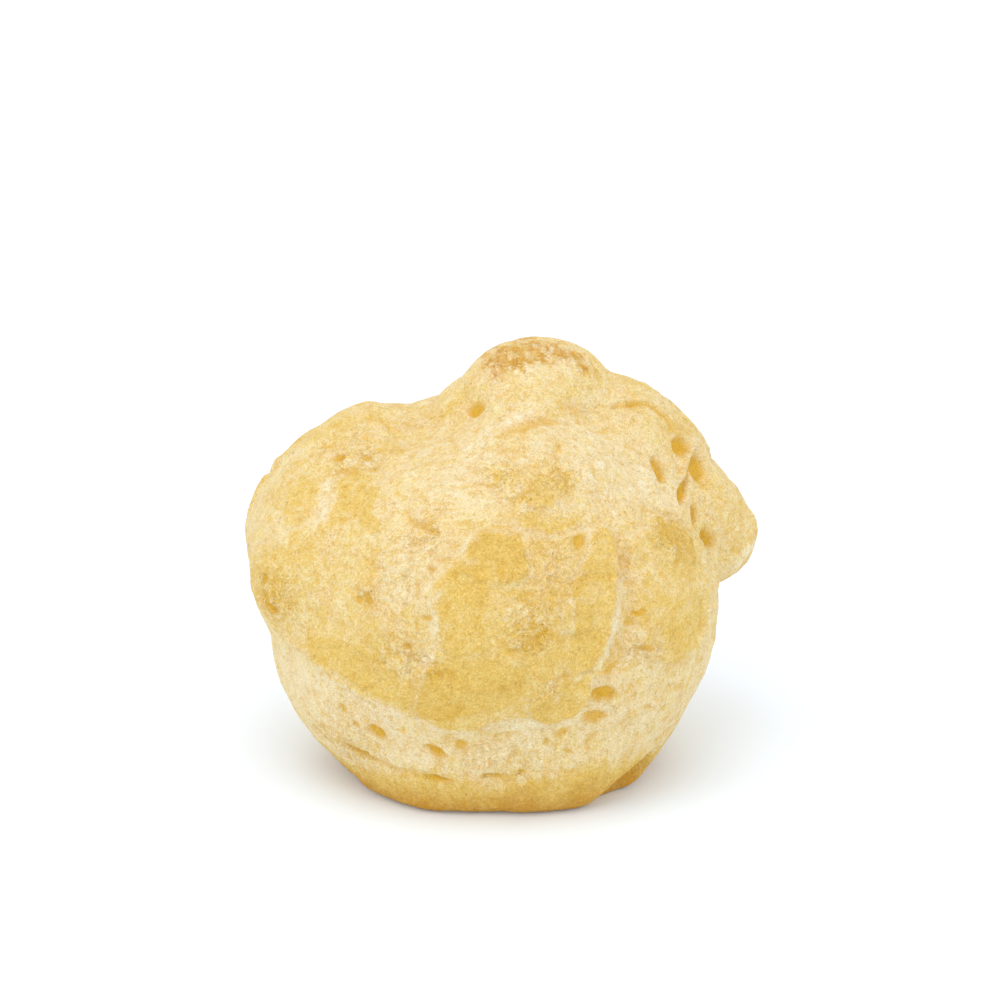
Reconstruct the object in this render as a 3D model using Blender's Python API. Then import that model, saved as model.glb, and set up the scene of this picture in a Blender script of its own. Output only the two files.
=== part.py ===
"""A cream puff: one baked, uncut bun of choux pastry that stands on its own flat base.

The bun is star-shaped about a core point, so its skin is given by how far it reaches from the core in
each direction. The reach starts as a squarish barrel, grows by merged balls of risen dough, is cut off
flat at the foot, and is then raised into crust plates and cut by cracks and burst bubbles.

Frame: +Z up, the front towards -Y, the origin on the ground under the middle of the bun. A bearing is
the angle from the front towards +X, and a latitude the angle above the core's level, both in degrees.
"""

import bmesh
import bpy
import numpy as np

MM = 0.001

# Driving sizes of the bun, in millimetres unless a name says otherwise
CORE = (-0.6, -1.0, 31.0)
WAIST_RADIUS = 30.0
CROWN_REACH = 20.5
FOOT_REACH = 38.5
BODY_SQUARENESS = 2.3
BELT_MERGE = 2.2
CRUST_MERGE = 1.0
FOOT_ROUNDING = 3.0
GRID_CUTS = 30

# Balls of risen dough in the soft belt and foot: radius, and centre x, y, z from the ground under the core
BELT_BALLS = {
    "left_belt": (23.0, -10.0, -4.5, 21.0),
    "right_belt": (22.0, 7.0, -5.0, 20.5),
    "back_belt": (21.5, -1.0, 8.0, 20.0),
    "left_toe": (14.0, -6.5, -12.5, 8.0),
    "right_toe": (14.5, 5.0, -12.5, 8.0),
    "heel": (13.5, 0.0, 10.0, 8.0),
    "back_body": (22.0, 2.5, 8.0, 30.5),
}

# Balls of risen dough under the crust, which meet in sharper valleys, given the same way
CRUST_BALLS = {
    "left_cheek": (17.5, -19.0, 0.5, 33.5),
    "left_crest": (9.0, -17.5, 3.0, 44.0),
    "left_saddle": (10.5, -10.0, 4.0, 41.5),
    "left_jaw": (14.5, -22.0, -6.0, 31.5),
    "front_bulge": (22.5, -3.0, -11.0, 29.0),
    "right_jaw": (22.0, 9.5, -7.0, 26.0),
    "right_brow": (23.0, 9.5, 5.5, 33.5),
    "ear_root": (10.5, 21.5, 4.0, 40.0),
    "ear": (9.0, 26.5, 3.5, 36.0),
    "ear_tip": (6.5, 30.5, 2.5, 32.5),
    "knob_left": (7.5, 2.0, 1.0, 55.5),
    "knob_right": (8.0, 8.0, 2.0, 55.0),
    "knob_front": (8.5, 4.5, -2.5, 53.0),
    "knob_back": (9.0, 4.5, 5.0, 53.5),
    "knob_foot": (8.5, -1.5, 2.0, 50.0),
    "crown_shoulder": (13.5, 14.0, 4.0, 44.0),
    "front_brow": (17.0, 4.0, -8.0, 39.0),
    "back_left": (20.5, -10.0, 10.5, 28.5),
    "back_right": (20.5, 6.0, 15.0, 29.0),
    "back_crown": (14.5, 3.0, 12.0, 39.5),
}

# Least cosine between a direction and a feature's own for the feature to count there
NEAR_SIDE = 0.3

# Crust plates: bearing, latitude, half width, half height, tilt in degrees, rise
PLATES = {
    "front_tall": (-4, 6, 7.6, 12.0, 0, 1.0),
    "front_low": (-2, -15, 11.5, 6.0, 0, 1.0),
    "front_strip": (28, 4, 3.8, 12.5, -16, 1.0),
    "front_heart": (12, 0, 6.0, 8.0, 0, 0.6),
    "front_brow": (14, 38, 7.5, 5.0, 0, 0.4),
    "left_apron": (-49, -1, 15.0, 8.5, -8, 0.8),
    "left_tail": (-29, -15, 8.0, 5.0, -15, 0.8),
    "left_shoulder": (-60, 26, 10.0, 8.5, 0, 0.8),
    "left_temple": (-84, 40, 9.0, 6.5, 0, 0.7),
    "left_rear": (-106, -2, 9.0, 12.0, 0, 0.8),
    "right_apron": (54, 3, 10.5, 10.5, 0, 0.8),
    "right_ear": (87, 14, 7.0, 9.0, 0, 0.7),
    "right_temple": (93, 46, 7.5, 6.0, 0, 0.7),
    "right_rear": (114, -9, 10.0, 9.0, 10, 0.8),
    "knob_cap": (70, 80, 8.5, 7.0, 0, 0.5),
    "back_left": (-143, 10, 13.0, 13.5, 12, 0.9),
    "back_middle": (178, -4, 10.0, 15.0, -6, 0.9),
    "back_right": (146, 12, 9.0, 14.0, 0, 0.9),
    "back_top": (172, 48, 11.0, 6.5, 0, 0.6),
    "heel_plate": (-160, -33, 13.0, 5.0, 0, 0.6),
}
PLATE_SQUARENESS = 3.0
PLATE_EDGE = 1.9

# Cracks: the bearings and latitudes they pass through, half width, depth
CRACKS = {
    "foot_left": (((-60, -27), (-53, -35), (-38, -38), (-26, -40), (-15, -42)), 1.6, 0.9),
    "foot_front": (((-4, -41), (3, -41), (9, -38), (17, -39), (25, -38)), 1.6, 0.7),
    "foot_right": (((34, -40), (48, -36), (62, -38), (75, -34)), 1.6, 0.7),
    "foot_back": (((105, -34), (130, -38), (155, -35), (175, -38), (-160, -44), (-135, -38)), 1.6, 0.8),
    "beside_strip": (((37, 22), (37, 12), (34, -1), (29, -11), (23, -22)), 1.8, 1.0),
    "ear_seam": (((68, 40), (74, 33), (76, 24), (74, 14), (78, 6), (76, -5)), 2.1, 1.1),
    "crown_arc": (((0, 58), (8, 61), (18, 62), (29, 61), (38, 58)), 1.5, 0.5),
    "brow_fold": (((78, 56), (84, 51), (89, 46), (90, 38)), 1.5, 0.6),
    "plate_heart": (((-1, 1), (3, -3), (10, 0), (18, -2)), 1.6, 0.7),
    "saddle_edge": (((-37, 38), (-29, 34), (-22, 31), (-18, 27)), 1.5, 0.6),
    "left_rear_split": (((-96, 30), (-99, 16), (-93, 2), (-88, -14)), 1.8, 1.2),
    "back_split": (((-163, 36), (-160, 20), (-166, 4), (-160, -14)), 1.9, 1.4),
    "back_right_split": (((162, 32), (164, 14), (158, -2), (160, -18)), 1.7, 1.0),
    "rear_cross": (((100, 24), (116, 14), (132, 2), (134, -14)), 1.7, 1.1),
}
# A crack's lips, by the share of its depth that they rise and how many half widths out they lie, and its ends
CRACK_LIP = 0.15
CRACK_LIP_PLACE = 2.0
CRACK_TAPER = 4.0

# Burst bubbles: bearing, latitude, half length, half width, tilt in degrees, depth
BUBBLES = {
    "ear_slot": (75, 24, 3.2, 2.0, 62, 1.8),
    "ear_hollow": (86, 31, 3.0, 2.2, 60, 1.5),
    "ear_near": (73, 33, 2.6, 1.9, -55, 1.3),
    "ear_under": (88, -11, 6.5, 2.8, 8, 2.0),
    "belt_left": (-36, -30, 2.8, 2.0, -35, 1.1),
    "belt_front": (-18, -34, 3.0, 1.9, -20, 1.1),
    "rim_notch": (44, -48, 6.0, 3.0, 30, 2.8),
    "right_window": (27, -20, 2.9, 2.0, 0, 1.2),
    "knob_foot": (-28, 76, 2.0, 1.9, 0, 0.8),
    "left_temple": (-73, 36, 2.0, 1.9, 0, 1.0),
    "left_apron": (-35, 6, 2.0, 1.8, 0, 0.8),
    "back_window": (-122, 25, 3.6, 2.1, 60, 1.7),
    "back_belt": (-150, -25, 3.4, 1.9, 10, 1.4),
    "back_belt_right": (128, -24, 3.0, 1.9, -12, 1.3),
    "back_crown": (150, 60, 2.6, 1.9, 20, 1.0),
}
# A bubble's shares of its own size: its flat floor, its sloping wall, and the place and width of its rim
BUBBLE_FLOOR = 0.35
BUBBLE_WALL = 0.9
BUBBLE_RIM_PLACE = 1.4
BUBBLE_RIM_WIDTH = 0.35
BUBBLE_RIM = 0.25

# Lumps of the risen dough: wavelength and height of each octave
LUMPS = ((12.0, 0.7), (5.5, 0.4))
LUMP_SEED = 11

# How far and over what wavelength the plates, cracks and bubbles wander from their plain outlines
WARP = 1.2
WARP_WAVE = 7.0
WARP_SEED = 31

# Large odd numbers that mix a cell's indices and the seed into random bits
MIXING_PRIMES = (73856093, 19349663, 83492791, 2654435761)
SECOND_MIX = 1274126177

CRUST_COLOUR = (0.72, 0.48, 0.17, 1.0)
CRUST_ROUGHNESS = 0.75


def toward(bearing, latitude):
    """The unit direction of a bearing and a latitude."""
    turn, rise = np.radians(bearing), np.radians(latitude)
    return np.array([np.sin(turn) * np.cos(rise), -np.cos(turn) * np.cos(rise), np.sin(rise)])


def smooth_step(share):
    """0 below 0, 1 above 1, and a smooth rise between."""
    share = np.clip(share, 0.0, 1.0)
    return share * share * (3.0 - 2.0 * share)


def lattice_gradient(cell, seed):
    """A repeatable random vector for each whole-number cell, from mixed bits of its three indices."""
    across, deep, up, other = MIXING_PRIMES
    mixed = (cell[:, 0] * across) ^ (cell[:, 1] * deep) ^ (cell[:, 2] * up) ^ (seed * other)
    mixed = (mixed ^ (mixed >> 13)) * SECOND_MIX & 0xFFFFFFFF
    mixed = (mixed ^ (mixed >> 16)) & 0xFFFFFF
    parts = np.stack([mixed & 255, (mixed >> 8) & 255, (mixed >> 16) & 255], axis=1)
    return parts / 127.5 - 1.0


def dough_noise(points, seed):
    """Gradient noise of about -1 to 1: each lattice corner's slope, blended across its cell."""
    cell = np.floor(points).astype(np.int64)
    within = points - cell
    weight = within**3 * (within * (within * 6.0 - 15.0) + 10.0)
    total = np.zeros(len(points))
    for corner in np.ndindex(2, 2, 2):
        slope = lattice_gradient(cell + corner, seed)
        share = np.prod(np.where(np.array(corner) == 1, weight, 1.0 - weight), axis=1)
        total += share * np.sum(slope * (within - corner), axis=1)
    return total


def ball_reach(directions, radius, x, y, z):
    """How far a ball's far side lies from the core along each direction, falling steeply beside the ball."""
    offset = np.array([x, y, z - CORE[2]])
    along = directions @ offset
    inside = radius**2 - offset @ offset + along**2
    return along + np.sign(inside) * np.sqrt(np.abs(inside))


def merged(reaches, softness):
    """The greatest of several reaches, with its creases filled over a width of about the softness."""
    reaches = np.stack(reaches)
    greatest = reaches.max(axis=0)
    return greatest + softness * np.log(np.exp((reaches - greatest) / softness).sum(axis=0))


def barrel_reach(directions):
    """The plain body: a superellipse of the waist and, above or below the core, the crown or the foot."""
    up = directions[:, 2]
    out = np.sqrt(np.clip(1.0 - up * up, 0.0, 1.0))
    tall = np.where(up > 0.0, CROWN_REACH, FOOT_REACH)
    sides = (out / WAIST_RADIUS) ** BODY_SQUARENESS + (np.abs(up) / tall) ** BODY_SQUARENESS
    return sides ** (-1.0 / BODY_SQUARENESS)


def surface_place(directions, bearing, latitude, reach):
    """East and north distances in millimetres from a spot on the skin, and whether it is on the near side."""
    middle = toward(bearing, latitude)
    east = toward(bearing + 90.0, 0.0)
    north = np.cross(middle, east)
    return reach * (directions @ east), reach * (directions @ north), directions @ middle > NEAR_SIDE


def plate_rise(directions, reach):
    """The greatest rise of the crust plates, each a squarish oval."""
    rise = np.zeros(len(directions))
    for bearing, latitude, half_width, half_height, tilt, height in PLATES.values():
        east, north, near = surface_place(directions, bearing, latitude, reach)
        turn = np.radians(tilt)
        across = (east * np.cos(turn) + north * np.sin(turn)) / half_width
        along = (north * np.cos(turn) - east * np.sin(turn)) / half_height
        spread = np.abs(across) ** PLATE_SQUARENESS + np.abs(along) ** PLATE_SQUARENESS
        spread = spread ** (1.0 / PLATE_SQUARENESS)
        inside = (1.0 - spread) * min(half_width, half_height)
        rise = np.maximum(rise, height * smooth_step(inside / PLATE_EDGE + 0.5) * near)
    return rise


def crack_share(directions, reach, spots):
    """Distance in millimetres to the line through the spots, and the line's taper at its ends."""
    nearest = np.full(len(directions), np.inf)
    place = np.zeros(len(directions))
    corners = [toward(*spot) for spot in spots]
    length = 0.0
    for start, end in zip(corners[:-1], corners[1:]):
        leg = end - start
        share = np.clip((directions - start) @ leg / (leg @ leg), 0.0, 1.0)
        distance = np.linalg.norm(directions - start - share[:, None] * leg, axis=1)
        place = np.where(distance < nearest, length + share * np.linalg.norm(leg), place)
        nearest = np.minimum(nearest, distance)
        length += np.linalg.norm(leg)
    taper = smooth_step(np.minimum(place, length - place) * reach / CRACK_TAPER + 0.3)
    return nearest * reach, taper


def crack_cut(directions, reach):
    """Depth of the cracks, each a bell-shaped groove between two low lips that fades out at its ends."""
    cut = np.zeros(len(directions))
    for spots, half_width, depth in CRACKS.values():
        distance, taper = crack_share(directions, reach, spots)
        share = distance / half_width
        groove = np.exp(-(share**2)) - CRACK_LIP * np.exp(-((share - CRACK_LIP_PLACE) ** 2))
        cut += depth * taper * groove
    return cut


def bubble_cut(directions, reach):
    """Depth of the burst bubbles, each an oval bowl with a low rim."""
    cut = np.zeros(len(directions))
    for bearing, latitude, half_length, half_width, tilt, depth in BUBBLES.values():
        east, north, near = surface_place(directions, bearing, latitude, reach)
        turn = np.radians(tilt)
        along = (east * np.cos(turn) + north * np.sin(turn)) / half_length
        across = (north * np.cos(turn) - east * np.sin(turn)) / half_width
        spread = np.hypot(along, across)
        bowl = depth * (1.0 - smooth_step((spread - BUBBLE_FLOOR) / BUBBLE_WALL))
        rim = BUBBLE_RIM * np.exp(-(((spread - BUBBLE_RIM_PLACE) / BUBBLE_RIM_WIDTH) ** 2))
        cut += (bowl - rim) * near
    return cut


def warped(directions, reach):
    """The directions after each has been pushed aside by noise, which makes plain outlines ragged."""
    skin = directions * reach[:, None] / WARP_WAVE
    push = np.stack([dough_noise(skin, WARP_SEED + axis) for axis in range(3)], axis=1)
    moved = directions + WARP * push / reach[:, None]
    return moved / np.linalg.norm(moved, axis=1, keepdims=True)


def cut_off_foot(directions, reach):
    """Ends the reach at the ground with a rounded rim, and exactly on the ground inside it."""
    ground = CORE[2] / np.maximum(-directions[:, 2], 0.01)
    share = np.clip(0.5 + 0.5 * (ground - reach) / FOOT_ROUNDING, 0.0, 1.0)
    return ground + (reach - ground) * share - FOOT_ROUNDING * share * (1.0 - share)


def bun_reach(directions):
    """The whole skin's reach from the core in millimetres."""
    belt = [ball_reach(directions, *ball) for ball in BELT_BALLS.values()]
    crust = [ball_reach(directions, *ball) for ball in CRUST_BALLS.values()]
    reach = merged([barrel_reach(directions), *belt], BELT_MERGE)
    reach = merged([reach, *crust], CRUST_MERGE)
    skin = directions * reach[:, None]
    lumps = sum(height * dough_noise(skin / wave, LUMP_SEED + k) for k, (wave, height) in enumerate(LUMPS))
    ragged = warped(directions, reach)
    raised = reach + lumps + plate_rise(ragged, reach)
    raised -= crack_cut(ragged, reach) + bubble_cut(ragged, reach)
    return cut_off_foot(directions, raised)


def clear_scene():
    """An empty scene to build in."""
    for item in list(bpy.data.objects):
        bpy.data.objects.remove(item)


def crust_material():
    """The pale gold of baked choux pastry."""
    material = bpy.data.materials.new("baked_choux")
    material.use_nodes = True
    shader = material.node_tree.nodes["Principled BSDF"]
    shader.inputs["Base Color"].default_value = CRUST_COLOUR
    shader.inputs["Roughness"].default_value = CRUST_ROUGHNESS
    shader.inputs["Metallic"].default_value = 0.0
    return material


def even_directions(corners):
    """Directions of a cube's grid points, spread by the tangent so that the squares come out even."""
    spread = np.tan(corners * np.pi / 4.0)
    return spread / np.linalg.norm(spread, axis=1, keepdims=True)


def make_bun(collection):
    """The bun: a cube cut into an even grid, blown up to the reach of the skin in every direction."""
    cage = bmesh.new()
    bmesh.ops.create_cube(cage, size=2.0)
    bmesh.ops.subdivide_edges(cage, edges=cage.edges[:], cuts=GRID_CUTS, use_grid_fill=True)
    directions = even_directions(np.array([vertex.co for vertex in cage.verts]))
    skin = directions * bun_reach(directions)[:, None] + CORE
    for vertex, place in zip(cage.verts, skin * MM):
        vertex.co = place
    bmesh.ops.triangulate(cage, faces=cage.faces[:], quad_method="SHORT_EDGE")
    mesh = bpy.data.meshes.new("choux_bun")
    cage.to_mesh(mesh)
    cage.free()
    mesh.shade_smooth()
    mesh.materials.append(crust_material())
    bun = bpy.data.objects.new("choux_bun", mesh)
    collection.objects.link(bun)


def main():
    """The bun, in a collection of its own."""
    clear_scene()
    collection = bpy.data.collections.new("cream_puff")
    bpy.context.scene.collection.children.link(collection)
    make_bun(collection)


main()
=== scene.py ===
"""A cream puff on a pale studio floor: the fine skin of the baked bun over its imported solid.

The skin is one closed surface about a core point. A cube's six square grids give its directions, and how
far the skin reaches in each direction is worked out in whole arrays: merged balls of dough, crust plates
inside drawn outlines, cracks and lips along drawn lines, burst bubbles, stretched fibres and grain.

Frame: +Z up, the front towards -Y, sizes in millimetres until the mesh is made. A bearing is the angle
from the front towards +X, and a latitude the angle above the core's level, both in degrees.
"""

import bpy
import numpy as np
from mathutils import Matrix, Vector


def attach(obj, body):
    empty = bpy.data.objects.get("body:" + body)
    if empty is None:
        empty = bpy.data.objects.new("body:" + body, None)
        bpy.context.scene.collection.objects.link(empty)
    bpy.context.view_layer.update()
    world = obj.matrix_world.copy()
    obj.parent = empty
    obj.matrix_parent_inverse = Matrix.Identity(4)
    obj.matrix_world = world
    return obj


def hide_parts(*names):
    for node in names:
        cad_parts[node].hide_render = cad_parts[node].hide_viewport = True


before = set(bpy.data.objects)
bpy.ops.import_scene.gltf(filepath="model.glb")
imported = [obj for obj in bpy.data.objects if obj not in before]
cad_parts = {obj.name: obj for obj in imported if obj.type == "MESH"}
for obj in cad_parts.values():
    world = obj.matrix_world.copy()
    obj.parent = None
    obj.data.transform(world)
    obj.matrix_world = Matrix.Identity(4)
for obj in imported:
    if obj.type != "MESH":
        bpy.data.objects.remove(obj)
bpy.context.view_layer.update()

MM = 0.001

# The bun's driving sizes, the same as its solid's
CORE = np.array([-0.6, -1.0, 31.0])
WAIST_RADIUS = 30.0
CROWN_REACH = 20.5
FOOT_REACH = 38.5
BODY_SQUARENESS = 2.3
BELT_MERGE = 2.2
CRUST_MERGE = 1.0
FOOT_ROUNDING = 2.0
GRID_STEPS = 129
FRONT_BIAS = np.array([0.0, -0.20, 0.14])

# Balls of risen dough in the soft belt and foot: radius, and centre x, y, z from the ground under the core
BELT_BALLS = {
    "left_belt": (23.0, -10.0, -4.5, 21.0),
    "right_belt": (22.0, 7.0, -5.0, 20.5),
    "back_belt": (21.5, -1.0, 8.0, 20.0),
    "left_toe": (14.0, -6.5, -12.5, 8.0),
    "right_toe": (14.5, 5.0, -12.5, 8.0),
    "heel": (13.5, 0.0, 10.0, 8.0),
    "back_body": (22.0, 2.5, 8.0, 30.5),
}

# Balls of risen dough under the crust, given the same way
CRUST_BALLS = {
    "left_cheek": (17.5, -19.0, 0.5, 33.5),
    "left_crest": (9.0, -17.5, 3.0, 44.0),
    "left_saddle": (10.5, -10.0, 4.0, 41.5),
    "left_jaw": (14.5, -22.0, -6.0, 31.5),
    "front_bulge": (22.5, -3.0, -11.0, 29.0),
    "right_jaw": (22.0, 9.5, -7.0, 26.0),
    "right_brow": (23.0, 9.5, 5.5, 33.5),
    "ear_root": (10.5, 21.5, 4.0, 40.0),
    "ear": (9.0, 26.5, 3.5, 36.0),
    "ear_tip": (6.5, 30.5, 2.5, 32.5),
    "knob_left": (7.5, 2.0, 1.0, 55.5),
    "knob_right": (8.0, 8.0, 2.0, 55.0),
    "knob_front": (8.5, 4.5, -2.5, 53.0),
    "knob_back": (9.0, 4.5, 5.0, 53.5),
    "knob_foot": (8.5, -1.5, 2.0, 50.0),
    "crown_shoulder": (13.5, 14.0, 4.0, 44.0),
    "front_brow": (17.0, 4.0, -8.0, 39.0),
    "back_left": (20.5, -10.0, 10.5, 28.5),
    "back_right": (20.5, 6.0, 15.0, 29.0),
    "back_crown": (14.5, 3.0, 12.0, 39.5),
}

# Crust plates: rise, toast from 0 pale to 1 gold, paleness of the rim (paler dough, partly a painted
# highlight on the raised edge), and the spots around the outline
DRAWN_PLATES = {
    "front": (0.7, 0.74, 0.6, (
        (-9, 24), (-2, 27), (6, 26), (16, 25), (27, 26), (34, 25), (34, 15), (30, 2), (28, -3), (24, -13),
        (19, -24), (13, -27), (9, -24), (0, -25), (-9, -28), (-15, -27), (-22, -23), (-18, -10), (-15, -2),
        (-17, 8), (-14, 16),
    )),
    "block": (0.95, 1.08, 0.7, (
        (-10, 22), (-9, 25), (-7, 27), (0, 26), (7, 26), (8, 20), (8, 15), (5, 13), (0, 12), (-6, 13),
        (-11, 16),
    )),
    "left_column": (0.8, 0.88, 0.6, (
        (-10, 19), (-14, 16), (-17, 13), (-17, 7), (-15, 0), (-12, -6), (-8, -6), (-2, -3), (-2, 3), (-3, 7),
        (-1, 14), (-3, 18),
    )),
    "low": (0.8, 0.98, 0.0, (
        (-20, -9), (-12, -6), (-4, -4), (3, -6), (8, -11), (6, -17), (0, -21), (-8, -22), (-16, -24),
        (-22, -22), (-25, -15),
    )),
    "toe": (1.0, 0.92, 0.5, (
        (7, -19), (12, -15), (18, -11), (24, -11), (24, -18), (20, -24), (12, -26), (8, -24),
    )),
    "strip": (1.0, 0.84, 0.9, (
        (28, 26), (35, 25), (34, 14), (31, 4), (28, -4), (24, -10), (19, -13), (16, -6), (18, 1), (19, 9),
        (20, 14), (24, 18),
    )),
    "oval": (1.2, 0.92, 0.5, ((16, 6), (19, 8), (23, 7), (25, 4), (23, 0), (18, -1), (15, 2))),
    "brow": (0.35, 0.68, 0.0, (
        (-4, 46), (4, 49), (9, 45), (14, 42), (22, 44), (26, 40), (20, 35), (12, 31), (8, 34), (2, 39),
    )),
    "brow_low": (0.25, 0.70, 0.0, ((0, 36), (8, 33), (14, 30), (27, 31), (26, 27), (14, 26), (6, 28))),
    "left_apron": (0.8, 0.58, 0.5, (
        (-76, 8), (-68, 11), (-62, 18), (-55, 23), (-45, 24), (-39, 21), (-34, 16), (-34, 10), (-32, 5),
        (-27, 2), (-23, -7), (-20, -16), (-22, -24), (-27, -22), (-33, -20), (-39, -19), (-45, -17),
        (-49, -14), (-54, -12), (-62, -13), (-66, -9), (-74, 0),
    )),
    "apron_low": (0.9, 0.88, 0.0, (
        (-56, -7), (-46, -7), (-35, -6), (-27, -8), (-23, -15), (-23, -22), (-32, -19), (-37, -17),
        (-45, -15), (-52, -12),
    )),
    "apron_side": (0.8, 0.60, 0.0, ((-74, 6), (-66, 8), (-58, 6), (-56, 0), (-62, -7), (-70, -2))),
    "left_oval": (0.4, 0.66, 0.4, (
        (-71, 18), (-76, 23), (-76, 27), (-71, 29), (-66, 27), (-62, 21), (-63, 16), (-67, 15),
    )),
    "left_patch": (0.5, 0.80, 0.2, (
        (-65, 31), (-66, 36), (-58, 38), (-54, 35), (-47, 36), (-45, 29), (-37, 25), (-41, 21), (-49, 23),
        (-56, 19), (-60, 26),
    )),
    "left_ridge": (0.6, 0.60, 0.4, (
        (-84, 30), (-82, 40), (-86, 50), (-100, 54), (-112, 40), (-104, 26), (-94, 20),
    )),
    "left_temple": (0.3, 0.74, 0.0, ((-80, 46), (-70, 51), (-56, 50), (-58, 44), (-70, 42))),
    "right_apron": (0.8, 0.62, 0.4, (
        (40, 20), (46, 22), (54, 22), (60, 20), (64, 12), (65, 2), (62, -7), (58, -11), (47, -14),
        (39, -11), (36, -4), (36, 12),
    )),
    "right_low": (0.8, 0.76, 0.0, ((46, 2), (56, 4), (64, 2), (62, -7), (56, -12), (46, -12), (43, -5))),
    "right_patch": (0.9, 0.86, 0.0, ((48, 22), (54, 24), (61, 20), (64, 14), (62, 8), (57, 10), (52, 15))),
    "ear": (0.4, 0.40, 0.3, ((82, 20), (90, 24), (98, 14), (98, 0), (90, -5), (80, -5), (79, 4), (82, 12))),
    "right_ridge": (0.4, 0.5, 0.3, ((84, 50), (92, 56), (104, 50), (102, 36), (94, 30), (88, 36), (88, 44))),
}

# Crust plates of the sides and the back: rise, toast, and bearing, latitude, half width, half height, tilt
OVAL_PLATES = {
    "left_rear": (0.7, 0.72, (-106, -2, 9.0, 12.0, 0)),
    "right_rear": (0.7, 0.75, (114, -9, 10.0, 9.0, 10)),
    "right_rear_high": (0.6, 0.65, (124, 26, 9.0, 7.0, -10)),
    "back_left": (0.8, 0.74, (-143, 8, 12.0, 13.5, 12)),
    "back_middle": (0.8, 0.66, (178, -4, 10.0, 15.0, -6)),
    "back_right": (0.8, 0.72, (146, 8, 9.0, 14.0, 0)),
    "back_top": (0.5, 0.65, (172, 46, 11.0, 6.5, 0)),
    "back_crest": (0.4, 0.6, (-138, 48, 8.0, 6.0, 0)),
    "heel": (0.4, 0.55, (-160, -33, 13.0, 5.0, 0)),
}
OVAL_CORNERS = 14
OVAL_SQUARENESS = 0.7
# The paleness of an oval plate's rim: paler dough, and partly a painted highlight on its raised edge
OVAL_RIM_PALE_HIGHLIGHT = 0.4

# A plate's edge: how far it climbs over, how far its toast fades over and from where, and its slight lip's
# height as a share of the rise, place inside the outline and half width
PLATE_EDGE = 1.2
TOAST_EDGE = 1.2
TOAST_START = 0.45
PLATE_LIP = (0.2, 0.7, 0.6)

# The pale rim just outside a plate's outline, on its raised edge and partly a painted highlight: how far out
# it lies, and its half width
PALE_RIM_HIGHLIGHT = (0.1, 0.4)

# An outline counts only for directions with at least this share along its middle
OUTLINE_NEARNESS = 0.45

# A line fades in over this many millimetres from its ends, where it starts at this share
LINE_FADE = 3.0
LINE_START = 0.3

# Cracks and folds that sink in: half width, depth, ochre tint, and the spots that the line passes through.
# The tint is the cracks' colour, and in the folds painted shade
GROOVES = {
    "foot_left": (0.5, 0.4, 0.5, (
        (-60, -27), (-56, -32), (-53, -35), (-46, -37), (-38, -38), (-32, -39), (-26, -40), (-19, -40),
        (-15, -42),
    )),
    "foot_middle": (0.5, 0.3, 0.5, ((-5, -40), (0, -42), (4, -41), (7, -39), (10, -37))),
    "foot_right": (0.5, 0.35, 0.6, ((15, -39), (22, -39), (26, -38))),
    "foot_far": (0.6, 0.5, 0.4, ((50, -37), (62, -38), (75, -34), (90, -36))),
    "foot_back": (0.7, 0.7, 0.6, (
        (105, -34), (130, -38), (155, -35), (175, -38), (-160, -44), (-135, -38), (-110, -36), (-85, -30),
    )),
    "beside_strip": (1.2, 0.6, 0.1, ((36, 22), (37, 12), (35, 4), (33, -3), (30, -9))),
    "ear_valley": (1.3, 0.9, 0.0, ((76, 19), (74, 14), (78, 6), (75, -4))),
    # The crown arc and the brow fold lie under crust that folds over them, and their tint is painted shade
    "crown_arc": (0.8, 0.4, 0.55, ((1, 58), (8, 61), (18, 62), (29, 61), (37, 58))),
    "brow_fold": (0.45, 0.45, 0.75, ((78, 56), (84, 51), (89, 46), (90, 42), (89, 38))),
    "heart_low": (0.6, 0.4, 0.6, ((-1, 1), (1, -2), (4, -3), (8, -2), (11, 0), (16, -2))),
    "saddle_edge": (0.6, 0.4, 0.6, ((-32, 31), (-30, 29), (-26, 27), (-20, 26), (-17, 24))),
    "left_rear_split": (1.0, 1.2, 0.4, ((-96, 30), (-99, 16), (-93, 2), (-90, -14))),
    "back_split": (1.2, 1.4, 0.3, ((-163, 36), (-160, 20), (-166, 4), (-160, -14))),
    "back_right_split": (0.9, 1.0, 0.4, ((162, 32), (164, 14), (158, -2), (160, -18))),
    "rear_cross": (0.9, 1.1, 0.4, ((100, 24), (116, 14), (132, 2), (134, -14))),
}
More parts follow.
